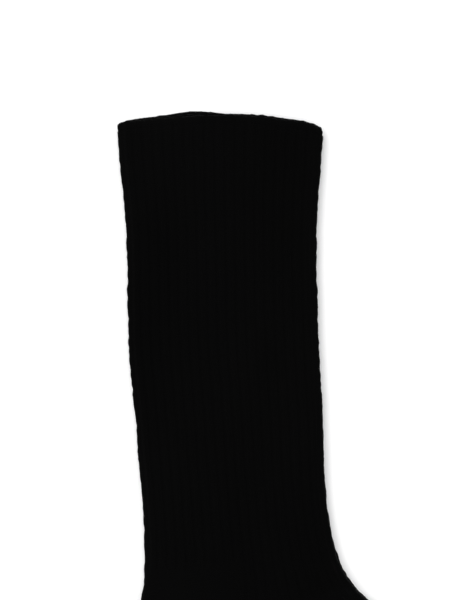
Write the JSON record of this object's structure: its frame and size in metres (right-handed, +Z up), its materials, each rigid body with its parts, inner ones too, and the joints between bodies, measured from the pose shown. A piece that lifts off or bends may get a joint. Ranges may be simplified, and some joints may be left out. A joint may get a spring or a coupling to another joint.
{
  "type": "pair of knit crew socks",
  "caption": "Near-black ribbed crew socks laid flat one on the other: hollow tubes open at the cuff, with ribbed leg and instep and plain heel, sole and toe.",
  "frame": {"origin": "middle of the pair's outline, on the surface that the lower sock lies on", "axes": "+Y from the feet towards the cuffs, +X towards the toes' side, +Z up from the surface"},
  "size_m": [0.216, 0.3486, 0.0089],
  "materials": {
    "black_knit": "matte ribbed cotton knit"
  },
  "bodies": {
    "root": {"sock_upper": "black_knit", "sock_lower": "black_knit"}
  },
  "joints": []
}
